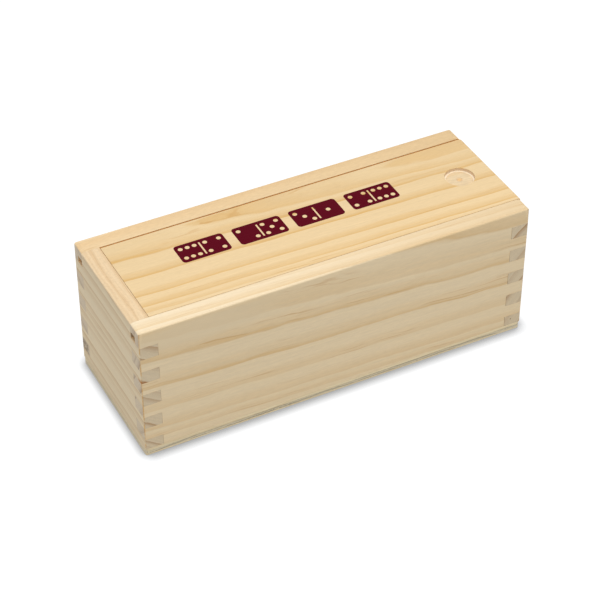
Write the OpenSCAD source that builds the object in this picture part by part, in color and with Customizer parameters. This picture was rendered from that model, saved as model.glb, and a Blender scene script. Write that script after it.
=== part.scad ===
// Domino storage box: a finger-jointed wooden case with a sliding lid.
//
// X runs along the box, towards the end where the lid slides out. Y runs from the front to the
// back, and Z is up. The origin is the centre of the underside.

/* [Box] */
// Length over the end panels
box_l = 195; // [120:1:300]
// Width over the front and back boards
box_w = 72; // [56:1:120]
// Height from the underside of the base to the rims
box_h = 71; // [50:0.5:110]
// Thickness of the front and back boards
side_t = 8.8; // [7:0.1:14]
// Thickness of the end panels
end_t = 8.8; // [7:0.1:14]
// Radius of the sanded outer edges
edge_r = 0.8; // [0.3:0.1:2]

/* [Base] */
// Thickness of each face ply
face_ply_t = 1.2; // [0.6:0.1:2.5]
// Thickness of the core ply
core_ply_t = 1.6; // [0.6:0.1:4]
// Radius of the base's four corners
base_corner_r = 2; // [0.5:0.1:4]

/* [Corner joints] */
// Height of one finger
finger_h = 6.65; // [4:0.05:12]
// Least height of a finger that is cut short by the base
least_finger_h = 2; // [1:0.1:4]
// Open glue line between a finger's pocket and the end panel's inner face
glue_line = 0.15; // [0.05:0.05:0.4]

/* [Lid groove] */
// Height of the rim above the groove
rim_t = 4.7; // [3:0.1:9]
// Height of the groove
groove_h = 3.4; // [2.2:0.1:6]
// Depth of the groove from the boards' inner faces
groove_d = 4.6; // [2.5:0.1:6]

/* [Lid] */
// Thickness of the lid through its raised field
lid_t = 8; // [6:0.1:14]
// How far the lid's outer end stands proud of the box
lid_proud = 0.5; // [0:0.1:1.5]
// Width of the tongues along the lid's front and back edges
tongue_w = 4.2; // [3:0.1:4.6]
// Play under the lid
gap_below = 0.1; // [0.05:0.05:0.3]
// Play between the tongues and the roof of the groove
gap_above = 0.3; // [0.1:0.05:0.6]
// Gap between the lid's field and the front board
gap_front = 0.2; // [0.1:0.1:0.8]
// Gap between the lid's field and the back board
gap_back = 0.8; // [0.2:0.1:1.6]
// Gap between the lid's field and the closed end's strip
gap_end = 0.3; // [0.2:0.1:1]
// Gap between the end tongue's tip and the bottom of its groove
gap_tip = 0.2; // [0.1:0.1:0.6]

/* [Thumb recess] */
// Diameter of the recess
recess_d = 14.3; // [10:0.1:22]
// Depth of the recess
recess_depth = 1.6; // [1:0.1:3.5]
// Distance from the lid's outer end to the recess's centre
recess_inset = 16.4; // [12:0.1:30]
// Width of the drill's scribed ring inside the rim
ring_w = 0.8; // [0.4:0.1:1.5]
// Depth of the scribed ring below the recess's floor
ring_depth = 0.25; // [0.1:0.05:0.6]
// Diameter of the drill's centre mark
centre_mark_d = 2.2; // [1:0.1:4]
// Depth of the drill's centre mark
centre_mark_depth = 0.9; // [0.4:0.1:1.5]

/* [Hidden] */
$fn = 64;

// How far a cutter reaches past the face that it cuts
past = 1;

base_t = 2 * face_ply_t + core_ply_t;
inner_w = box_w - 2 * side_t;

// Floor of the lid's groove, which is also the open end panel's top edge
groove_z = box_h - rim_t - groove_h;

// The fingers step down from the groove's floor, with a gap of one finger between two of them
finger_tops = [for (z = groove_z; z - base_t >= least_finger_h; z = z - 2 * finger_h) z];
function finger_bottom(top) = max(top - finger_h, base_t);

lid_z = groove_z + gap_below;
tongue_t = groove_h - gap_below - gap_above;
end_tongue_w = groove_d + gap_end - gap_tip;
field_x = -box_l / 2 + end_t + gap_end;
lid_end_x = box_l / 2 + lid_proud;
field_y = [-inner_w / 2 + gap_front, inner_w / 2 - gap_back];

wood_front = "#cbb897";
wood_end = "#c1b197";
wood_lid = "#f0d3a2";
wood_face_ply = "#dccfb0";
wood_core_ply = "#b0a594";

// A box between two corners
module block(low, high) {
    translate(low) cube(high - low);
}

// A rectangle centred on the origin, with round corners
module rounded_rectangle(l, w, r) {
    square([l - 2 * r, w], center = true);
    square([l, w - 2 * r], center = true);
    for (x = [r - l / 2, l / 2 - r], y = [r - w / 2, w / 2 - r])
        translate([x, y]) circle(r);
}

// The sanded outer shape of the whole box, which trims every outer edge
module outer_shape(corner_r) {
    intersection() {
        linear_extrude(box_h) rounded_rectangle(box_l, box_w, corner_r);
        translate([0, box_w / 2, box_h / 2]) rotate([90, 0, 0])
            linear_extrude(box_w) rounded_rectangle(box_l, box_h, edge_r);
        translate([-box_l / 2, 0, box_h / 2]) rotate([90, 0, 90])
            linear_extrude(box_l) rounded_rectangle(box_w, box_h, edge_r);
    }
}

// Pockets for the open end panel's fingers, through the front board
module finger_pockets() {
    for (top = finger_tops)
        block([box_l / 2 - end_t - glue_line, -box_w / 2 - past, finger_bottom(top)],
              [box_l / 2 + past, -inner_w / 2 + past, top]);
}

// A long side board, drawn as the front one
module side_board() {
    intersection() {
        outer_shape(edge_r);
        difference() {
            block([-box_l / 2, -box_w / 2, base_t], [box_l / 2, -inner_w / 2, box_h]);
            block([-box_l / 2 - past, -inner_w / 2 - groove_d, groove_z],
                  [box_l / 2 + past, -inner_w / 2 + past, groove_z + groove_h]);
            finger_pockets();
            mirror([1, 0, 0]) finger_pockets();
        }
    }
}

// An end panel of a given height, drawn at the open end: a slab between the boards with fingers
module end_panel(top_z) {
    intersection() {
        outer_shape(edge_r);
        union() {
            block([box_l / 2 - end_t, -inner_w / 2, base_t], [box_l / 2, inner_w / 2, top_z]);
            for (top = finger_tops)
                block([box_l / 2 - end_t, -box_w / 2, finger_bottom(top)],
                      [box_l / 2, box_w / 2, top]);
        }
    }
}

// One layer of the base, from one height to another
module ply(low_z, high_z) {
    intersection() {
        outer_shape(base_corner_r);
        block([-box_l / 2, -box_w / 2, low_z], [box_l / 2, box_w / 2, high_z]);
    }
}

// What the drill takes out of the lid: a flat pocket, the scribed ring and the centre mark
module thumb_recess() {
    floor_z = lid_z + lid_t - recess_depth;
    translate([lid_end_x - recess_inset, 0, floor_z]) {
        cylinder(d = recess_d, h = recess_depth + past);
        translate([0, 0, -ring_depth]) difference() {
            cylinder(d = recess_d, h = ring_depth + past);
            translate([0, 0, -past]) cylinder(d = recess_d - 2 * ring_w, h = ring_depth + 3 * past);
        }
        translate([0, 0, -centre_mark_depth])
            cylinder(d1 = 0, d2 = centre_mark_d, h = centre_mark_depth);
    }
}

module front_board() {
    color(wood_front) side_board();
}

module back_board() {
    color(wood_front) mirror([0, 1, 0]) side_board();
}

module closed_end_panel() {
    color(wood_end) mirror([1, 0, 0]) difference() {
        end_panel(box_h);
        block([box_l / 2 - end_t - past, -inner_w / 2 - past, groove_z],
              [box_l / 2 - end_t + groove_d, inner_w / 2 + past, groove_z + groove_h]);
    }
}

module open_end_panel() {
    color(wood_end) end_panel(groove_z);
}

module base_top_ply() {
    color(wood_face_ply) ply(face_ply_t + core_ply_t, base_t);
}

module base_core_ply() {
    color(wood_core_ply) ply(face_ply_t, face_ply_t + core_ply_t);
}

module base_bottom_ply() {
    color(wood_face_ply) ply(0, face_ply_t);
}

module sliding_lid() {
    color(wood_lid) difference() {
        union() {
            block([field_x - end_tongue_w, field_y[0] - tongue_w, lid_z],
                  [lid_end_x, field_y[1] + tongue_w, lid_z + tongue_t]);
            block([field_x, field_y[0], lid_z], [lid_end_x, field_y[1], lid_z + lid_t]);
        }
        thumb_recess();
    }
}

front_board();
back_board();
closed_end_panel();
open_end_panel();
base_top_ply();
base_core_ply();
base_bottom_ply();
sliding_lid();
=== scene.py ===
"""A domino storage box: pine boards, a plywood base and a sliding lid with a printed row of tiles.

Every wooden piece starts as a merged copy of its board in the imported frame, has its edges eased,
and gets a solid wood grain that runs through the whole board, so that its faces, its edges and its
end grain agree. Lengths in the wood's shaders are in millimetres.
"""

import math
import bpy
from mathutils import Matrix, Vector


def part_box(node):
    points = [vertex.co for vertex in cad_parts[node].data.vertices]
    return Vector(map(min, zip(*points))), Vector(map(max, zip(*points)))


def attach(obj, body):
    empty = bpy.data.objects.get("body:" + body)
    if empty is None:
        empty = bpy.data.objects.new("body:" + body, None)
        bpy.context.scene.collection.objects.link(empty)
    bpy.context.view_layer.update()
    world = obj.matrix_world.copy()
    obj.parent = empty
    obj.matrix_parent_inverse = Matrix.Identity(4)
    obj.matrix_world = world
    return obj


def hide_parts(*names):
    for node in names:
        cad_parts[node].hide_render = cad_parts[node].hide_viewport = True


bl_info = {
    "name": "Domino Storage Box",
    "version": (1, 0, 0),
    "blender": (4, 5, 0),
    "location": "View3D > Sidebar > Domino Box",
    "description": "Finishes the boards, the base and the lid of a domino box, and sets its stage",
    "category": "Object",
}

import bpy
from bpy.props import FloatProperty, FloatVectorProperty, PointerProperty
from mathutils import Vector

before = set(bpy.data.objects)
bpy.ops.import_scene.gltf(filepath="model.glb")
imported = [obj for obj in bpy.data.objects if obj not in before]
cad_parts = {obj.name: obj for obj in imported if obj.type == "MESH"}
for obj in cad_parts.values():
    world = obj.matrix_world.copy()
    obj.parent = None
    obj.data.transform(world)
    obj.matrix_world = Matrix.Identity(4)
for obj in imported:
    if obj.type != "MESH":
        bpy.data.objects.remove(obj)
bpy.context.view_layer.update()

MM = 0.001
MERGE_DISTANCE = 0.002 * MM
FLAT_ANGLE = math.radians(0.5)
CREASE_ANGLE = math.radians(32)
CAD_EDGE_R = 0.8 * MM
WIDEST_GAP = 0.5 * MM
NEAR = 0.01 * MM

lid_low, lid_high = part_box("sliding_lid")
closed_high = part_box("closed_end_panel")[1]
box_low, box_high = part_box("front_board")

# Faces of the box and of the lid in millimetres, for the shaders
CLOSED_END, OPEN_END = box_low.x / MM, box_high.x / MM
FRONT, RIM = box_low.y / MM, box_high.z / MM
LID_END, LID_TOP = lid_high.x / MM, lid_high.z / MM


# Settings that a user would change


def colour(name, description, default, most=1):
    return FloatVectorProperty(
        name=name, description=description, default=default, subtype="COLOR", size=3, min=0, max=most
    )


def tint(name, description, default):
    return colour(name, description, default, most=2)


def length(name, description, default_mm):
    return FloatProperty(
        name=name, description=description, default=default_mm * MM, unit="LENGTH", precision=5
    )


def amount(name, description, default):
    return FloatProperty(name=name, description=description, default=default, min=0)


def place(name, description, default_mm):
    metres = [c * MM for c in default_mm]
    return FloatVectorProperty(
        name=name, description=description, default=metres, subtype="TRANSLATION"
    )


class WoodSettings(bpy.types.PropertyGroup):
    """Colours of the woods: between the rings, in the rings, and both again on the end grain"""

    front_early: colour("Front board", "Wood between the rings", (0.885, 0.72, 0.475))
    front_late: colour("Front board, rings", "Wood in the rings", (0.785, 0.56, 0.29))
    back_early: colour("Back board", "Wood between the rings", (0.87, 0.635, 0.355))
    back_late: colour("Back board, rings", "Wood in the rings", (0.78, 0.50, 0.235))
    side_cut: colour("Side boards, end grain", "End grain between the rings", (0.77, 0.64, 0.47))
    side_cut_line: colour("Side boards, end rings", "Rings of the end grain", (0.52, 0.38, 0.25))
    end_early: colour("End panels", "Wood between the rings", (0.905, 0.755, 0.52))
    end_late: colour("End panels, rings", "Wood in the rings", (0.72, 0.52, 0.29))
    end_top: colour("End panels, top", "Wood of the top edges", (0.89, 0.68, 0.43))
    end_cut: colour("End panels, end grain", "End grain between the rings", (0.73, 0.60, 0.41))
    end_cut_line: colour("End panels, end rings", "Rings of the end grain", (0.46, 0.27, 0.13))
    lid_early: colour("Lid", "Wood between the rings", (0.86, 0.645, 0.365))
    lid_late: colour("Lid, rings", "Wood in the rings", (0.745, 0.465, 0.17))
    lid_cut: colour("Lid, end grain", "End grain between the rings", (0.78, 0.58, 0.34))
    lid_cut_line: colour("Lid, end rings", "Rings of the end grain", (0.58, 0.38, 0.18))
    lid_bored: colour("Recess's floor", "Fresh wood in the thumb recess", (0.85, 0.685, 0.46))
    # Painted highlight: the paler colour of the scribed ring stands in for light on its sloping sides.
    lid_ring_highlight: colour("Recess's ring", "Raised fibres of the scribed ring", (0.96, 0.85, 0.68))
    # Painted shade: the orange of the drill's conical centre mark stands in for the shade on its sides.
    lid_mark_shade: colour("Recess's centre", "Wood in the drill's centre mark", (0.86, 0.56, 0.26))
    lid_wall: colour("Recess's wall", "Wood of the recess's wall", (0.78, 0.59, 0.40))
    veneer: colour("Face plies", "Veneer between the rings", (0.92, 0.80, 0.54))
    veneer_line: colour("Face plies, rings", "Rings of the veneer", (0.78, 0.61, 0.36))
    veneer_cut: colour("Face plies, end grain", "End grain of the veneer", (0.87, 0.75, 0.51))
    core: colour("Core ply", "Core veneer's long grain", (0.80, 0.70, 0.52))
    core_line: colour("Core ply, rings", "Rings of the core veneer", (0.60, 0.48, 0.32))
    core_cut: colour("Core ply, end grain", "End grain of the core veneer", (0.735, 0.645, 0.465))
    core_cut_line: colour("Core ply, flecks", "Dark flecks of its end grain", (0.32, 0.26, 0.165))
    # Painted shade: this tint darkens and warms the groove's faces beside the lid, partly the saw-cut
    # wood's own tone and partly painted shade of the gap.
    sawn_and_gap_shade: tint("Sawn faces", "What the lid's groove keeps of its colour", (1.12, 0.84, 0.42))
    # Painted shade: the lid's tongues and sides, which sit in the gap round the lid, keep less of their
    # colour, partly their saw-cut tone.
    lid_sawn_and_gap_shade: tint("Lid's sides", "What the lid's sawn sides keep of it", (1.0, 0.91, 0.78))
    stain: tint("Stain", "What a dark stain keeps of it", (0.48, 0.44, 0.40))
    resin: tint("Resin wedge", "What a wedge of resin keeps of it", (0.72, 0.48, 0.30))
    corner: tint("Corner edges", "What the sanded corner edges keep of it", (0.92, 0.70, 0.42))


class EdgeSettings(bpy.types.PropertyGroup):
    """How far the pieces' edges are eased"""

    board_ease: length("Boards", "Rounding of the boards' sawn edges", 0.1)
    ply_ease: length("Plies", "Rounding of the plies' edges", 0.03)
    lid_ease: length("Lid", "Rounding of the lid's edges", 0.1)
    lid_end_ease: length("Lid's outer end", "Rounding of the lid's sanded outer end", 0.9)
    end_reach: length("Upper ends", "Length of the rounding at the upper end edges", 2.4)
    glue_fill: length("Glue", "How far glue fills the finger joints at the closed end", 0.12)
    lid_close: length("Lid's closing", "How much nearer the lid's field is to the closed end", 0.15)


class PrintSettings(bpy.types.PropertyGroup):
    """The printed row of domino tiles on the lid"""

    ink: colour("Ink", "Colour of the print", (0.105, 0.001, 0.009))
    tile_l: length("Tile length", "Length of a printed tile", 24)
    tile_w: length("Tile width", "Width of a printed tile", 12.8)
    tile_gap: length("Gap", "Gap between two printed tiles", 4.6)
    corner: length("Corner", "Radius of a printed tile's corners", 1.7)
    pip_d: length("Pip", "Diameter of a bare pip", 2.2)
    pip_pitch: length("Pip pitch", "Distance between two rows of pips", 3.4)
    line_w: length("Middle line", "Width of a tile's bare middle line", 0.8)
    line_inset: length("Line's inset", "From the middle line's ends to the tile's edges", 1.9)
    row: place("Row's centre", "Centre of the row on the lid", (-5, 5.8, 0))
    ink_t: length("Ink thickness", "How far the ink stands on the wood", 0.03)


class StageSettings(bpy.types.PropertyGroup):
    """The floor, the lights and the camera"""

    floor_size: length("Floor", "Length of the floor's sides", 4000)
    floor_bounce: amount("Floor's bounce", "How pale the floor is to the box", 0.75)
    floor_glow: amount("Floor's white", "White that the camera sees on the floor", 0.97)
    floor_seen: amount("Floor's light", "How pale the camera sees the light on the floor", 0.1)
    shadow_reach: length("Contact shadow", "How far the box darkens the floor beside it", 6.2)
    shadow_depth: amount("Contact shadow's depth", "How dark that shadow is", 1.3)
    shadow_most: amount("Contact shadow's limit", "The most that it takes from the white", 0.6)
    shadow_closed_end: amount("Shadow at the closed end", "Its share of reach and depth", 0.72)
    sky: amount("Sky", "Strength of the light from all round", 0.45)
    lamp_power: FloatProperty(
        name="Lamp", description="Power of the overhead lamp", default=7.6, unit="POWER"
    )
    lamp_size: length("Lamp size", "Side of the overhead lamp", 900)
    lamp_place: place("Lamp's place", "Centre of the overhead lamp", (0, -190, 1100))
    camera_place: place("Camera's place", "Where the camera stands", (-330.8, -641.3, 621.7))
    camera_tilt: FloatProperty(
        name="Camera's tilt",
        description="Angle up from straight down",
        default=math.radians(50.515),
        unit="ROTATION",
    )
    camera_turn: FloatProperty(
        name="Camera's turn",
        description="Angle round the box from its front",
        default=math.radians(-27.138),
        unit="ROTATION",
    )
    camera_lens: amount("Lens", "Focal length in millimetres", 120.37)


# Shader maths


class Socket:
    """A shader value for Python expressions: each operator adds a Math node."""

    def __init__(self, shader, socket):
        self.shader = shader
        self.socket = socket

    def math(self, operation, *values):
        return self.shader.add("ShaderNodeMath", values, operation=operation)

    def __add__(self, other):
        return self.math("ADD", self, other)

    def __radd__(self, other):
        return self.math("ADD", other, self)

    def __sub__(self, other):
        return self.math("SUBTRACT", self, other)

    def __rsub__(self, other):
        return self.math("SUBTRACT", other, self)

    def __mul__(self, other):
        return self.math("MULTIPLY", self, other)

    def __rmul__(self, other):
        return self.math("MULTIPLY", other, self)

    def __truediv__(self, other):
        return self.math("DIVIDE", self, other)

    def __pow__(self, other):
        return self.math("POWER", self, other)

    def __abs__(self):
        return self.math("ABSOLUTE", self)


class Shader:
    """The nodes of a material or world. add() makes a node, and the rest are short forms of it."""

    def __init__(self, owner):
        owner.use_nodes = True
        self.owner = owner
        self.tree = owner.node_tree

    def add(self, kind, inputs=(), output=0, stops=None, **settings):
        """Adds a node with its settings, then sets or links its inputs, and gives one output."""
        node = self.tree.nodes.new(kind)
        for setting, value in settings.items():
            setattr(node, setting, value)
        if stops:
            elements = node.color_ramp.elements
            while len(elements) < len(stops):
                elements.new(1)
            for element, (position, level) in zip(elements, stops):
                element.position = position
                element.color = (level, level, level, 1)
        pairs = inputs.items() if isinstance(inputs, dict) else enumerate(inputs)
        for key, value in pairs:
            self.feed(node.inputs[key], value)
        return Socket(self, node.outputs[output])

    def feed(self, target, value):
        if isinstance(value, Socket):
            self.tree.links.new(value.socket, target)
        elif target.type == "RGBA":
            target.default_value = (*value[:3], 1)
        else:
            target.default_value = value

    def surface(self, **inputs):
        """Feeds the Principled BSDF's sockets, named with _ for a space."""
        for name, value in inputs.items():
            self.feed(self.tree.nodes["Principled BSDF"].inputs[name.replace("_", " ")], value)

    def place(self):
        """The three object coordinates, in millimetres."""
        metres = self.add("ShaderNodeTexCoord", output="Object")
        scaled = self.add("ShaderNodeVectorMath", {0: metres, "Scale": 1 / MM}, operation="SCALE")
        node = self.add("ShaderNodeSeparateXYZ", [scaled]).socket.node
        return [Socket(self, node.outputs[axis]) for axis in range(3)]

    def noise(self, x, y, z, detail=2):
        """Smooth noise at a point, mostly between 0.3 and 0.7."""
        point = self.add("ShaderNodeCombineXYZ", [x, y, z])
        return self.add("ShaderNodeTexNoise", {"Vector": point, "Scale": 1, "Detail": detail})

    def step(self, value, low, high):
        """0 below low, 1 above high and smooth between."""
        inputs = {"Value": value, "From Min": low, "From Max": high}
        return self.add("ShaderNodeMapRange", inputs, interpolation_type="SMOOTHSTEP")

    def between(self, value, rise, fall):
        """0 below and above a stretch and 1 in it. rise and fall are the limits of its two steps."""
        return self.step(value, *rise) * (1 - self.step(value, *fall))

    def mix(self, factor, first, second):
        """A colour between two colours."""
        inputs = {0: factor, 6: first, 7: second}
        return self.add("ShaderNodeMix", inputs, output=2, data_type="RGBA")

    def shade(self, colour, factor):
        """A colour made darker or lighter."""
        return self.add("ShaderNodeVectorMath", {0: colour, "Scale": factor}, operation="SCALE")

    def tint(self, mask, colour, kept):
        """A colour of which the masked part keeps only some of each channel."""
        tinted = self.add("ShaderNodeVectorMath", [colour, kept], operation="MULTIPLY")
        return self.mix(mask, colour, tinted)

    def facing(self, axis):
        """How much the surface faces along an axis, from -1 to 1."""
        normal = self.add("ShaderNodeTexCoord", output="Normal")
        return self.add("ShaderNodeVectorMath", [normal, axis], "Value", operation="DOT_PRODUCT")


# Wood


RING_EDGE = 0.3
RINGS_PER_RAMP = 10
RIPPLE = 1.3
CANAL_KEEPS = (0.82, 0.69, 0.52)


class Log:
    """Where a board lay in its log, in millimetres.

    The grain runs along X or Y. The pith is a point beside the board, in the plane across the
    grain, and drift is how fast the rings shift along the grain. Each ring is the radius at which
    its dark late wood ends, with its strength. The late wood fades inwards from there, wobble is
    how far the rings stray, fall is painted light, how much the wood darkens along and across the
    grain as the light falls off over the board, and mottle is how blotchy it is.
    """

    def __init__(self, grain, pith, rings, drift=0.0, fade=4.5, wobble=1.2, fall=(0, 0), mottle=0.11):
        self.grain = grain
        self.pith = pith
        self.rings = rings
        self.drift = drift
        self.fade = fade
        self.wobble = wobble
        self.fall = fall
        self.mottle = mottle


FRONT_LOG = Log("X", (39, 86), [
    (67.5, 0.45), (73.2, 0.9), (77.6, 0.75), (81.4, 1), (88.6, 1), (96.5, 0.75), (103.5, 0.8),
    (106.9, 0.7), (113, 0.8),
], drift=0.026)
# The back board's fall is painted light, darker towards the open end.
BACK_LOG = Log("X", (-20, 160), [
    (92, 0.5), (97.5, 0.3), (104, 0.7), (112, 0.8), (121, 0.8), (127, 0.6), (136, 0.9), (145, 0.8),
    (152, 0.6), (160, 0.8),
], drift=0.018, fall=(0.0001, 0), mottle=0.25)
# The lid's fall is painted light, paler towards its front edge.
LID_LOG = Log("X", (23.6, 50.6), [
    (11.5, 0.9), (16.3, 0.6), (19, 0.8), (22.4, 1), (31.3, 1), (41.6, 0.95), (48.3, 0.9), (51.9, 0.7),
], drift=0.025, fall=(0, 0.0011))
CLOSED_END_LOG = Log("Y", (-203, -139), [
    (175, 0.7), (179.8, 0.5), (182.5, 0.9), (188.2, 0.5), (191.5, 1), (200.1, 0.5), (203.9, 0.8),
    (208.1, 0.6), (212, 0.9), (220.6, 0.7), (223.2, 1), (229.9, 0.9), (234.5, 0.5), (235.7, 0.5),
    (236.8, 1), (237.6, 0.4), (239, 0.9),
], wobble=0.6)
OPEN_END_LOG = Log("Y", (200, -60), [
    (121, 0.8), (129, 0.6), (137.1, 0.9), (143, 0.6), (148, 0.7), (159.4, 1), (166, 0.7), (171, 0.8),
], drift=0.02)
VENEER_LOG = Log("X", (0, -2000), [
    (1996.2, 0.7), (1998.1, 0.8), (2000.3, 0.8), (2001.7, 0.6), (2003.2, 0.9), (2005, 0.7), (2007, 0.8),
], fade=1.6, wobble=9)
CORE_LOG = Log("Y", (0, -2000), [
    (1996.2, 0.7), (1998.1, 0.8), (2000.3, 0.8), (2001.8, 0.9), (2003.2, 0.9), (2005, 0.7), (2007, 0.8),
], fade=1.3, wobble=4)


def ring_ramps(log, low, high):
    """Stops of ramps over the radii from low to high: late wood rises slowly and ends at once."""
    ramps = []
    last_end = low
    for number, (radius, strength) in enumerate(log.rings):
        if number % RINGS_PER_RAMP == 0:
            ramps.append([(0, 0)])
        start = max(last_end, radius - log.fade)
        for radius_at, level in ((start, 0), (radius, strength), (radius + RING_EDGE, 0)):
            ramps[-1].append(((radius_at - low) / (high - low), level))
        last_end = radius + RING_EDGE
    return ramps


class Wood(Shader):
    """A solid wood with rings, fine lines, fibres, short resin canals and end grain."""

    def __init__(self, name, log, early, late, cut, cut_line, flecks=0.0):
        super().__init__(bpy.data.materials.new(name))
        self.log = log
        self.x, self.y, self.z = self.place()
        self.along, self.across = (self.x, self.y) if log.grain == "X" else (self.y, self.x)
        self.radius = self.distance_from_pith()
        self.ring = self.late_wood()
        self.fibre = self.streaks(0.10, 3.2, detail=3)
        self.pores = self.noise(self.x * 2.6, self.y * 2.6, self.z * 2.6)

        body = self.long_grain(early, late)
        ends = self.end_grain(cut, cut_line, flecks)
        axis = (1, 0, 0) if log.grain == "X" else (0, 1, 0)
        cut_across = self.step(abs(self.facing(axis)), 0.55, 0.9)
        self.colour = self.mix(cut_across, body, ends)
        self.roughness = 0.6 + self.fibre * 0.12
        self.height = self.fibre * 0.6 + self.ring * 0.4 + self.pores * 0.25

    def streaks(self, along, across, detail=2):
        """Noise that is so fine along the grain, and so fine across it, per millimetre."""
        return self.noise(self.along * along, self.across * across, self.z * across, detail)

    def ring_streaks(self, along, out, third, detail):
        """Noise that follows the rings, so fine along the grain and outwards, per millimetre."""
        return self.noise(self.along * along, self.radius * out, third, detail)

    def distance_from_pith(self):
        """The radius in the log, with the rings' drift, their slow wobble and a short ripple."""
        slow = self.streaks(0.016, 0.03, detail=1) - 0.5
        ripple = self.streaks(0.055, 0.2) - 0.5
        out = ((self.across - self.log.pith[0]) ** 2 + (self.z - self.log.pith[1]) ** 2) ** 0.5
        drifted = out - (self.along - CLOSED_END) * self.log.drift
        return drifted + slow * self.log.wobble + ripple * RIPPLE

    def late_wood(self):
        """How much of the dark wood at a ring's end there is at a point, from 0 to 1."""
        low = self.log.rings[0][0] - self.log.fade - 1
        high = self.log.rings[-1][0] + 1
        within = (self.radius - low) / (high - low)
        ring = 0
        for stops in ring_ramps(self.log, low, high):
            ring = self.add("ShaderNodeValToRGB", [within], stops=stops) + ring
        return ring

    def long_grain(self, early, late):
        """The board's faces: a pale band and a darker line for each ring, and resin canals."""
        lines = self.ring_streaks(0.012, 1.7, 0, detail=3)
        fit = 0.5 + self.ring_streaks(0.013, 0.35, 0, detail=1)
        band = self.step(self.ring, 0.02, 0.6) * fit * (0.2 + lines * 0.4)
        line = self.step(self.ring, 0.6, 1) * fit * (0.2 + lines * 0.6)
        body = self.mix(band + line, early, late)

        cloud = self.streaks(0.01, 0.06)
        blotch = (self.streaks(0.35, 1.1, detail=3) - 0.5) * self.log.mottle
        tone = 0.845 + blotch + lines * 0.13 + self.fibre * 0.13 + cloud * 0.06
        # Painted light: the board darkens along and across itself as the light falls off over it.
        light_fall_along, light_fall_across = self.log.fall
        body = self.shade(body, tone - self.along * light_fall_along - self.across * light_fall_across)

        canal = self.step(self.ring_streaks(0.035, 3.4, self.across * 0.15, detail=1), 0.6, 0.7)
        patch = self.step(self.ring_streaks(0.017, 0.2, 3.7, detail=1), 0.47, 0.6)
        canals = canal * patch * self.step(self.ring, 0.02, 0.3)
        return self.mix(canals * 0.5, body, [kept * level for kept, level in zip(CANAL_KEEPS, late)])

    def end_grain(self, cut, cut_line, flecks):
        """The ends of the fibres: thin dark rings, arcs between them, pores and flecks."""
        speckle = self.streaks(0.3, 1.1, detail=3)
        ends = self.mix(self.ring ** 2.2, cut, cut_line)
        ends = self.mix(self.step(speckle, 0.52, 0.66) * flecks, ends, cut_line)
        arcs = self.ring_streaks(0, 1.1, self.z * 0.1, detail=3)
        return self.shade(ends, 0.76 + self.pores * 0.24 + arcs * 0.24)

    def upwards(self):
        """1 on faces that look up and 0 on upright ones."""
        return self.step(self.facing((0, 0, 1)), 0.5, 0.9)

    def at_front(self):
        """1 on the box's front face and 0 from a few millimetres behind it."""
        return 1 - self.step(self.y, FRONT + 2, FRONT + 4)

    def sawn_and_gap_shade(self, woods):
        """Warmer, darker wood on the saw-cut faces of the lid's groove and of the rim boards above it:
        partly the wood's own warmer tone, partly painted warm shade of the narrow gap round the lid.
        """
        floor, roof = lid_low.z / MM - 0.2, LID_TOP - 0.25
        height = self.between(self.z, (floor - 0.1, floor), (roof - 0.1, roof))
        depth = 1 - self.step(abs(self.y), lid_high.y / MM + 0.5, lid_high.y / MM + 0.6)
        length = self.step(self.x, lid_low.x / MM - 0.4, lid_low.x / MM - 0.3)
        upright = 1 - self.upwards() * 0.6
        # Painted warm shade of the gap round the lid, on top of the saw-cut wood's warmer tone.
        self.colour = self.tint(height * depth * length * upright, self.colour, woods.sawn_and_gap_shade)

    def rim_light(self, closed_end, open_end):
        """Painted light on the rim boards' top faces, which keep so much of their colour at the closed
        end, paler, and so much at the open end, darker.
        """
        top = self.upwards() * self.step(self.z, RIM - 1, RIM)
        along = (self.x - CLOSED_END) / (OPEN_END - CLOSED_END)
        self.colour = self.tint(top, self.colour, self.mix(along, closed_end, open_end))

    def rough_top(self, kept):
        """The end panels' rough top edges, which keep so much of their colour."""
        rough = 0.875 + self.noise(self.x * 0.9, self.y * 0.9, 0, detail=3) * 0.25
        self.colour = self.tint(self.upwards(), self.colour, self.shade(kept, rough))

    def worn_corners(self, woods):
        """The box's sanded upright edges, where the end grain shows as a broken warm line."""
        at_end = self.step(abs(self.x), OPEN_END - 0.6, OPEN_END - 0.3)
        at_side = self.step(abs(self.y), -FRONT - 0.6, -FRONT - 0.3)
        broken = self.step(self.noise(self.x * 0.1, self.y * 0.1, self.z * 0.16), 0.4, 0.55)
        self.colour = self.tint(at_end * at_side * broken, self.colour, woods.corner)

    # The blemishes, each with the places where it begins and ends, in millimetres

    FAINT_X = (-52, -22)
    FAINT_Z = ((56, 60), (68, 70))
    PORES_X = ((-50, -42), (-27, -20))
    STAIN_Y = (27, 30)
    STAIN_Z = ((9, 10.5), (14.5, 17))
    WEDGE_Z = 43
    WEDGE_SLOPE = 0.32
    WEDGE_HEIGHT = (1.1, 1.4)
    KNOT_X, KNOT_Z = 92, 7.4
    KNOT_R = (0.2, 0.5)

    def faint_rings(self, early):
        """A pale stretch below the front rim at the closed end, where the rings hardly show."""
        upper = self.between(self.z, *self.FAINT_Z)
        stretch = 1 - self.step(self.x, *self.FAINT_X)
        on_face = 1 - self.step(abs(self.facing((1, 0, 0))), 0.5, 0.9)
        pale = self.shade(early, 0.94)
        self.colour = self.mix(upper * stretch * on_face * 0.6, self.colour, pale)

    def open_pores(self, woods):
        """Dark open pores along a stretch of the core ply's front edge."""
        stretch = self.between(self.x, *self.PORES_X)
        pores = self.step(self.noise(self.x * 0.8, self.y, self.z * 1.5), 0.42, 0.6)
        self.colour = self.tint(stretch * self.at_front() * pores * 0.4, self.colour, woods.stain)

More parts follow.
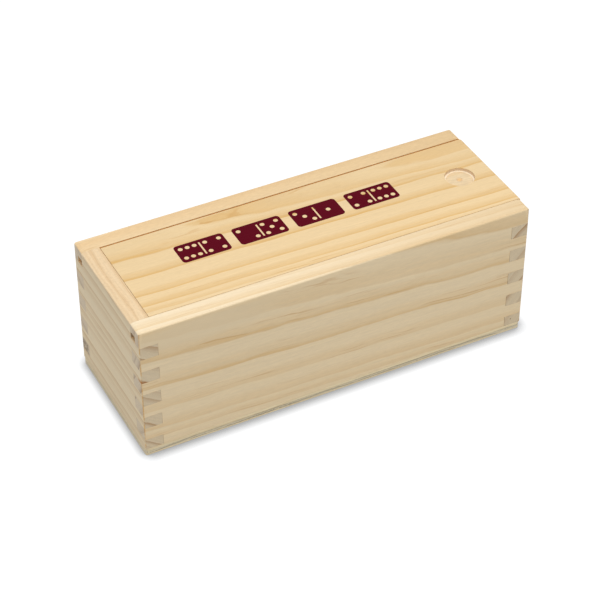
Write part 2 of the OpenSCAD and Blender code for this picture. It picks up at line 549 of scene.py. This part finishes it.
    def stain(self, woods):
        """A dark patch on the back board's end grain at the closed end."""
        height = self.between(self.z, *self.STAIN_Z)
        corner = self.step(self.y, *self.STAIN_Y) * self.step(self.facing((-1, 0, 0)), 0.5, 0.9)
        blotch = self.step(self.noise(self.x, self.y * 0.6, self.z * 0.6), 0.3, 0.6)
        self.colour = self.tint(height * corner * blotch, self.colour, woods.stain)

    def resin_wedge(self, woods):
        """A brown wedge at the lower left corner of the closed end's second finger, at the front."""
        from_corner = (self.x - CLOSED_END) * self.WEDGE_SLOPE + self.z - self.WEDGE_Z
        wedge = 1 - self.step(from_corner, *self.WEDGE_HEIGHT)
        above = self.step(self.z, self.WEDGE_Z - 0.2, self.WEDGE_Z)
        self.colour = self.tint(wedge * above * self.at_front(), self.colour, woods.resin)

    def pin_knot(self, woods):
        """A dark speck on the open end's lowest finger, at the front."""
        away = ((self.x - self.KNOT_X) ** 2 + (self.z - self.KNOT_Z) ** 2) ** 0.5
        knot = 1 - self.step(away, *self.KNOT_R)
        self.colour = self.tint(knot * self.at_front(), self.colour, woods.stain)

    def finish(self):
        relief = {"Strength": 0.4, "Distance": 0.06 * MM, "Height": self.height}
        self.surface(
            Base_Color=self.colour,
            Roughness=self.roughness,
            Normal=self.add("ShaderNodeBump", relief),
            Specular_IOR_Level=0.3,
        )
        return self.owner


def ink_material(ink):
    """Screen-printed ink that lets a little of the fibres through."""
    shader = Shader(bpy.data.materials.new("print_ink"))
    x, y, z = shader.place()
    fibre = shader.noise(x * 0.10, y * 3.2, z * 3.2, detail=3)
    thin = shader.step(fibre, 0.58, 0.85) * 0.15
    shader.surface(
        Base_Color=shader.mix(thin, ink, [3 * c + 0.03 for c in ink]),
        Roughness=0.7 + fibre * 0.1,
        Specular_IOR_Level=0.06,
    )
    return shader.owner


# Modelling helpers


def select_only(*pieces):
    bpy.ops.object.select_all(action="DESELECT")
    for piece in pieces:
        piece.select_set(True)
    bpy.context.view_layer.objects.active = pieces[0]


def copy_of_node(node, name):
    """A new piece from a CAD node's mesh, with its loose triangles merged into flat faces."""
    piece = bpy.data.objects.new(name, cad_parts[node].data.copy())
    bpy.context.scene.collection.objects.link(piece)
    piece.data.materials.clear()
    select_only(piece)
    bpy.ops.object.mode_set(mode="EDIT")
    bpy.ops.mesh.customdata_custom_splitnormals_clear()
    bpy.ops.mesh.select_all(action="SELECT")
    bpy.ops.mesh.remove_doubles(threshold=MERGE_DISTANCE)
    bpy.ops.mesh.dissolve_limited(angle_limit=FLAT_ANGLE)
    bpy.ops.object.mode_set(mode="OBJECT")
    return piece


def ease_edges(piece, width, segments=2):
    """Rounds every sharp edge a little and shades the piece smooth, with its flat faces flat."""
    select_only(piece)
    bevel = piece.modifiers.new("Eased edges", "BEVEL")
    bevel.width = width
    bevel.segments = segments
    bevel.limit_method = "ANGLE"
    bevel.angle_limit = CREASE_ANGLE
    bpy.ops.object.modifier_apply(modifier=bevel.name)
    bpy.ops.object.shade_smooth_by_angle(angle=CREASE_ANGLE)
    flat = piece.modifiers.new("Flat faces", "WEIGHTED_NORMAL")
    flat.keep_sharp = True
    bpy.ops.object.modifier_apply(modifier=flat.name)


def shift_where(piece, chosen, shift):
    """Moves the vertices that a test on their place chooses."""
    select_only(piece)
    bpy.ops.object.mode_set(mode="EDIT")
    bpy.ops.mesh.select_mode(type="VERT")
    bpy.ops.mesh.select_all(action="DESELECT")
    bpy.ops.object.mode_set(mode="OBJECT")
    for vertex in piece.data.vertices:
        vertex.select = chosen(vertex.co)
    bpy.ops.object.mode_set(mode="EDIT")
    bpy.ops.transform.translate(value=shift)
    bpy.ops.object.mode_set(mode="OBJECT")


def past_closed_end(point):
    """Whether a point is just inside the closed end panel, across a gap."""
    return 0 < point.x - closed_high.x < WIDEST_GAP


def sand_upper_ends(piece, reach):
    """Stretches the rounding of the box's upper end edges along the box."""
    for vertex in piece.data.vertices:
        from_end = box_high.x - abs(vertex.co.x)
        from_rim = box_high.z - vertex.co.z
        if max(from_end, from_rim) < CAD_EDGE_R + NEAR:
            vertex.co.x = math.copysign(box_high.x - from_end * reach / CAD_EDGE_R, vertex.co.x)


def bevel_where(piece, chosen, width, segments):
    """Rounds the edges that a test on their two ends chooses."""
    select_only(piece)
    bpy.ops.object.mode_set(mode="EDIT")
    bpy.ops.mesh.select_mode(type="EDGE")
    bpy.ops.mesh.select_all(action="DESELECT")
    bpy.ops.object.mode_set(mode="OBJECT")
    vertices = piece.data.vertices
    for edge in piece.data.edges:
        edge.select = chosen(*[vertices[end].co for end in edge.vertices])
    bpy.ops.object.mode_set(mode="EDIT")
    bpy.ops.mesh.bevel(offset=width, segments=segments, affect="EDGES")
    bpy.ops.mesh.select_mode(type="VERT")
    bpy.ops.object.mode_set(mode="OBJECT")


def finish_piece(piece, material, slot, body, *nodes):
    piece.data.materials.clear()
    piece.data.materials.append(material)
    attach(piece, body)
    if nodes:
        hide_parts(*nodes)


# Operators


class DOMINO_OT_side_boards(bpy.types.Operator):
    """Finish the front and back boards"""

    bl_idname = "domino.side_boards"
    bl_label = "Side Boards"

    # Painted light on the rim boards' tops: what they keep of their colour at the closed end and at the
    # open end.
    RIM_LIGHT = {
        "front_board": ((1.11, 1.14, 1.22), (0.955, 0.905, 0.84)),
        "back_board": ((1.02, 1.05, 1.11), (0.915, 0.90, 0.88)),
    }

    def execute(self, context):
        woods, edges = context.scene.domino_wood, context.scene.domino_edges
        boards = (
            ("front_board", FRONT_LOG, woods.front_early, woods.front_late),
            ("back_board", BACK_LOG, woods.back_early, woods.back_late),
        )
        for node, log, early, late in boards:
            piece = copy_of_node(node, node + "_pine")
            shift_where(piece, past_closed_end, (-edges.glue_fill, 0, 0))
            sand_upper_ends(piece, edges.end_reach)
            ease_edges(piece, edges.board_ease)
            pine = Wood(node + "_wood", log, early, late, woods.side_cut, woods.side_cut_line)
            if node == "front_board":
                pine.faint_rings(early)
            # Painted light: the top faces paler towards the closed end and darker towards the open end.
            pine.rim_light(*self.RIM_LIGHT[node])
            pine.sawn_and_gap_shade(woods)
            pine.worn_corners(woods)
            if node == "back_board":
                pine.stain(woods)
            finish_piece(piece, pine.finish(), "pine_side", "box", node)
        return {"FINISHED"}


class DOMINO_OT_end_panels(bpy.types.Operator):
    """Finish the closed and open end panels"""

    bl_idname = "domino.end_panels"
    bl_label = "End Panels"

    def execute(self, context):
        woods, edges = context.scene.domino_wood, context.scene.domino_edges
        for node, log in (("closed_end_panel", CLOSED_END_LOG), ("open_end_panel", OPEN_END_LOG)):
            piece = copy_of_node(node, node + "_pine")
            sand_upper_ends(piece, edges.end_reach)
            ease_edges(piece, edges.board_ease)
            pine = Wood(
                node + "_wood", log, woods.end_early, woods.end_late, woods.end_cut, woods.end_cut_line
            )
            pine.rough_top([top / early for top, early in zip(woods.end_top, woods.end_early)])
            pine.sawn_and_gap_shade(woods)
            pine.worn_corners(woods)
            if node == "closed_end_panel":
                pine.resin_wedge(woods)
            else:
                pine.pin_knot(woods)
            finish_piece(piece, pine.finish(), "pine_end", "box", node)
        return {"FINISHED"}


class DOMINO_OT_base(bpy.types.Operator):
    """Finish the three plies of the base"""

    bl_idname = "domino.base"
    bl_label = "Plywood Base"

    def execute(self, context):
        woods, edges = context.scene.domino_wood, context.scene.domino_edges
        face_colours = (woods.veneer, woods.veneer_line, woods.veneer_cut, woods.veneer_line)
        core_colours = (woods.core, woods.core_line, woods.core_cut, woods.core_cut_line)
        face = Wood("face_veneer_wood", VENEER_LOG, *face_colours).finish()
        core = Wood("core_veneer_wood", CORE_LOG, *core_colours, flecks=0.2)
        core.open_pores(woods)
        plies = (
            ("base_top_ply", face, "face_veneer"),
            ("base_core_ply", core.finish(), "core_veneer"),
            ("base_bottom_ply", face, "face_veneer"),
        )
        for node, material, slot in plies:
            piece = copy_of_node(node, node + "_veneer")
            ease_edges(piece, edges.ply_ease)
            finish_piece(piece, material, slot, "box", node)
        return {"FINISHED"}


class DOMINO_OT_lid(bpy.types.Operator):
    """Finish the sliding lid and its thumb recess"""

    bl_idname = "domino.lid"
    bl_label = "Sliding Lid"

    # The thumb recess, in millimetres
    RECESS_INSET = 16.4
    RECESS_R = 7.15
    RECESS_DEPTH = 1.6
    RING_W = 0.8
    MARK_R = 1.1
    WORN_R = (1.5, 1.9)

    def execute(self, context):
        woods, edges = context.scene.domino_wood, context.scene.domino_edges
        piece = copy_of_node("sliding_lid", "sliding_lid_pine")
        shift_where(piece, past_closed_end, (-edges.lid_close, 0, 0))

        def outer_end(first, second):
            """The top edge of the lid's outer end."""
            at_end = min(first.x, second.x) > lid_high.x - NEAR
            return at_end and min(first.z, second.z) > lid_high.z - NEAR

        bevel_where(piece, outer_end, edges.lid_end_ease, 6)
        ease_edges(piece, edges.lid_ease, segments=3)
        colours = (woods.lid_early, woods.lid_late, woods.lid_cut, woods.lid_cut_line)
        pine = Wood("lid_wood", LID_LOG, *colours)
        pine.colour = self.recess(pine, woods)
        # Painted shade of the gap on the lid's tongues and sides, partly their saw-cut tone.
        pine.colour = pine.tint(self.sawn_sides_in_gap_shade(pine), pine.colour, woods.lid_sawn_and_gap_shade)
        finish_piece(piece, pine.finish(), "pine_lid", "lid", "sliding_lid")
        return {"FINISHED"}

    def sawn_sides_in_gap_shade(self, pine):
        """1 on the tongues and the field's sides, and 0 on the outer end and in the recess."""
        below_top = 1 - pine.step(pine.z, LID_TOP - 0.3, LID_TOP - 0.2)
        before_end = 1 - pine.step(pine.x, LID_END - 1.2, LID_END - 1)
        not_below = pine.step(pine.facing((0, 0, 1)), -0.6, -0.4)
        beside_recess = pine.step(abs(pine.y), self.RECESS_R + 1, self.RECESS_R + 2)
        before_recess = 1 - pine.step(pine.x, 0, 1)
        clear = beside_recess.math("MAXIMUM", beside_recess, before_recess)
        return below_top * before_end * not_below * clear

    def recess(self, pine, woods):
        """Fresh wood where the drill has cut, a painted highlight on the scribed ring, and painted
        shade, darker and orange, in the drill's conical centre mark.
        """
        away = ((pine.x - (LID_END - self.RECESS_INSET)) ** 2 + pine.y ** 2) ** 0.5
        within = 1 - pine.step(away, self.RECESS_R + 0.05, self.RECESS_R + 0.2)
        deep = 1 - pine.step(pine.z, LID_TOP - 0.5, LID_TOP - 0.15)
        floor_z = LID_TOP - self.RECESS_DEPTH
        floor = 1 - pine.step(pine.z, floor_z + 0.05, floor_z + 0.2)
        ring_r = self.RECESS_R - self.RING_W
        scribed = pine.step(away, ring_r - 0.1, ring_r + 0.1)
        mark_shade = 1 - pine.step(away, self.MARK_R - 0.2, self.MARK_R)
        torn = pine.noise(pine.x * 0.25, pine.y * 0.9, 0, detail=3)
        bored = pine.shade(pine.mix(0.4, woods.lid_bored, pine.colour), 0.79 + torn * 0.4)
        # Painted highlight on the scribed ring.
        bored = pine.mix(scribed * 0.9, bored, woods.lid_ring_highlight)
        worn = pine.between(away, (self.MARK_R - 0.1, self.MARK_R), self.WORN_R)
        bored = pine.tint(worn * 0.3, bored, woods.resin)
        # Painted shade in the conical centre mark.
        bored = pine.mix(mark_shade * 0.8, bored, woods.lid_mark_shade)
        cut = pine.mix(floor, woods.lid_wall, bored)
        return pine.mix(within * deep, pine.colour, cut)


class DOMINO_OT_print(bpy.types.Operator):
    """Print a row of domino tiles on the lid"""

    bl_idname = "domino.print"
    bl_label = "Lid's Print"

    ROW = ((6, 4), (2, 5), (3, 1), (4, 6))
    LEFT, RIGHT = (-1, 1), (1, -1)
    UPPER, LOWER = (1, 1), (-1, -1)
    PIPS = {
        1: ((0, 0),),
        2: (LEFT, RIGHT),
        3: (LEFT, (0, 0), RIGHT),
        4: (LEFT, RIGHT, UPPER, LOWER),
        5: (LEFT, RIGHT, (0, 0), UPPER, LOWER),
        6: (LEFT, RIGHT, UPPER, LOWER, (0, 1), (0, -1)),
    }
    PIP_SIDES = 28

    def execute(self, context):
        print_ = context.scene.domino_print
        blank = self.blank_tile(print_)
        pitch = print_.tile_l + print_.tile_gap
        tiles = []
        for number, halves in enumerate(self.ROW):
            tile = blank.copy()
            tile.data = blank.data.copy()
            bpy.context.scene.collection.objects.link(tile)
            self.cut_out(tile, self.cutters(print_, halves))
            tile.location.x = (number - (len(self.ROW) - 1) / 2) * pitch
            tiles.append(tile)
        bpy.data.objects.remove(blank)
        select_only(*tiles)
        bpy.ops.object.join()
        row = bpy.context.active_object
        row.name = "lid_print"
        row.location += Vector((print_.row[0], print_.row[1], lid_high.z))
        bpy.ops.object.transform_apply(location=True, rotation=True, scale=True)
        finish_piece(row, ink_material(print_.ink), "print_ink", "lid")
        return {"FINISHED"}

    def blank_tile(self, print_):
        """A flat tile with round corners, from just under the wood's surface to the ink's top."""
        bpy.ops.object.select_all(action="DESELECT")
        bpy.ops.mesh.primitive_cube_add(size=1)
        tile = bpy.context.active_object
        bpy.ops.object.mode_set(mode="EDIT")
        bpy.ops.transform.resize(value=(print_.tile_l, print_.tile_w, 2 * print_.ink_t))
        bpy.ops.object.mode_set(mode="OBJECT")

        def upright(first, second):
            return (first.xy - second.xy).length < print_.ink_t and first.z != second.z

        bevel_where(tile, upright, print_.corner, 8)
        return tile

    def cutters(self, print_, halves):
        """The pips of both halves and the middle line, as one piece."""
        reach = 10 * print_.ink_t
        bpy.ops.object.select_all(action="DESELECT")
        bpy.ops.mesh.primitive_cube_add(size=1)
        bpy.ops.object.mode_set(mode="EDIT")
        line_l = print_.tile_w - 2 * print_.line_inset
        bpy.ops.transform.resize(value=(print_.line_w, line_l, reach))
        bpy.ops.object.mode_set(mode="OBJECT")
        made = [bpy.context.active_object]
        for side, number in zip((-1, 1), halves):
            middle = side * print_.tile_l / 4
            for along, across in self.PIPS[number]:
                spot = (middle + along * print_.pip_pitch, across * print_.pip_pitch, 0)
                bpy.ops.mesh.primitive_cylinder_add(
                    vertices=self.PIP_SIDES, radius=print_.pip_d / 2, depth=reach, location=spot
                )
                made.append(bpy.context.active_object)
        select_only(*made)
        bpy.ops.object.join()
        return bpy.context.active_object

    def cut_out(self, tile, cutter):
        select_only(tile)
        cut = tile.modifiers.new("Bare wood", "BOOLEAN")
        cut.operation = "DIFFERENCE"
        cut.object = cutter
        bpy.ops.object.modifier_apply(modifier=cut.name)
        bpy.data.objects.remove(cutter)


class DOMINO_OT_stage(bpy.types.Operator):
    """Lay the floor, hang the lamp and place the camera"""

    bl_idname = "domino.stage"
    bl_label = "Stage"

    PAPER_TINT = (0.993, 1.0, 1.01)
    END_BLEND = 4

    def execute(self, context):
        stage = context.scene.domino_stage
        self.floor(stage)
        self.sky(context.scene, stage)
        self.lamp(stage)
        self.camera(context.scene, stage)
        context.scene.view_settings.view_transform = "Standard"
        return {"FINISHED"}

    def floor(self, stage):
        bpy.ops.object.select_all(action="DESELECT")
        bpy.ops.mesh.primitive_plane_add(size=stage.floor_size)
        floor = bpy.context.active_object
        floor.name = "studio_floor"
        shader = Shader(bpy.data.materials.new("floor_paper"))
        x = shader.place()[0]
        at_closed_end = 1 - shader.step(x, CLOSED_END - self.END_BLEND, CLOSED_END + self.END_BLEND)
        share = 1 - at_closed_end * (1 - stage.shadow_closed_end)
        reach = {"Distance": share * stage.shadow_reach}
        open_to_light = shader.add("ShaderNodeAmbientOcclusion", reach, output="AO", samples=16)
        seen = self.seen_directly(shader)
        shadow = (1 - open_to_light) * share * stage.shadow_depth
        glow = (1 - shadow.math("MINIMUM", shadow, stage.shadow_most)) * seen
        paper = [level * stage.floor_glow for level in self.PAPER_TINT]
        shader.surface(
            Base_Color=shader.mix(seen, [stage.floor_bounce] * 3, [stage.floor_seen] * 3),
            Emission_Color=shader.shade(paper, glow),
            Emission_Strength=1.0,
            Roughness=1.0,
            Specular_IOR_Level=0.0,
        )
        floor.data.materials.append(shader.owner)

    def seen_directly(self, shader):
        """1 for a ray from the camera, a mirror or glass, and 0 for one that carries light."""
        rays = ("Is Camera Ray", "Is Glossy Ray", "Is Transmission Ray")
        path = shader.add("ShaderNodeLightPath").socket.node
        camera, glossy, through = [Socket(shader, path.outputs[ray]) for ray in rays]
        return camera.math("MAXIMUM", camera, glossy.math("MAXIMUM", glossy, through))

    def sky(self, scene, stage):
        scene.world = bpy.data.worlds.new("studio_sky")
        shader = Shader(scene.world)
        seen = self.seen_directly(shader)
        background = shader.tree.nodes["Background"]
        shader.feed(background.inputs["Color"], (1, 1, 1))
        shader.feed(background.inputs["Strength"], stage.sky + seen * (1 - stage.sky))

    def lamp(self, stage):
        bpy.ops.object.light_add(type="AREA", location=stage.lamp_place)
        lamp = bpy.context.active_object
        lamp.name = "overhead_lamp"
        lamp.data.energy = stage.lamp_power
        lamp.data.size = stage.lamp_size
        lamp.rotation_euler = (-lamp.location).to_track_quat("-Z", "Y").to_euler()

    def camera(self, scene, stage):
        turn = (stage.camera_tilt, 0, stage.camera_turn)
        bpy.ops.object.camera_add(location=stage.camera_place, rotation=turn)
        camera = bpy.context.active_object
        camera.data.lens = stage.camera_lens
        camera.data.sensor_width = 36
        camera.data.clip_end = 20
        scene.camera = camera


STEPS = (
    DOMINO_OT_side_boards,
    DOMINO_OT_end_panels,
    DOMINO_OT_base,
    DOMINO_OT_lid,
    DOMINO_OT_print,
    DOMINO_OT_stage,
)
SETTINGS = {
    "domino_wood": WoodSettings,
    "domino_edges": EdgeSettings,
    "domino_print": PrintSettings,
    "domino_stage": StageSettings,
}


class DOMINO_PT_panel(bpy.types.Panel):
    """Lists the box's pieces and settings in the sidebar"""

    bl_idname = "DOMINO_PT_panel"
    bl_label = "Domino Box"
    bl_space_type = "VIEW_3D"
    bl_region_type = "UI"
    bl_category = "Domino Box"

    def draw(self, context):
        for step in STEPS:
            self.layout.operator(step.bl_idname)
        for name, group in SETTINGS.items():
            box = self.layout.box()
            for setting in group.__annotations__:
                box.prop(getattr(context.scene, name), setting)


CLASSES = (*SETTINGS.values(), *STEPS, DOMINO_PT_panel)


def register():
    for cls in CLASSES:
        bpy.utils.register_class(cls)
    for name, group in SETTINGS.items():
        setattr(bpy.types.Scene, name, PointerProperty(type=group))


def unregister():
    for name in SETTINGS:
        delattr(bpy.types.Scene, name)
    for cls in reversed(CLASSES):
        bpy.utils.unregister_class(cls)


def main():
    register()
    bpy.ops.domino.side_boards()
    bpy.ops.domino.end_panels()
    bpy.ops.domino.base()
    bpy.ops.domino.lid()
    bpy.ops.domino.print()
    bpy.ops.domino.stage()


if __name__ == "__main__":
    main()
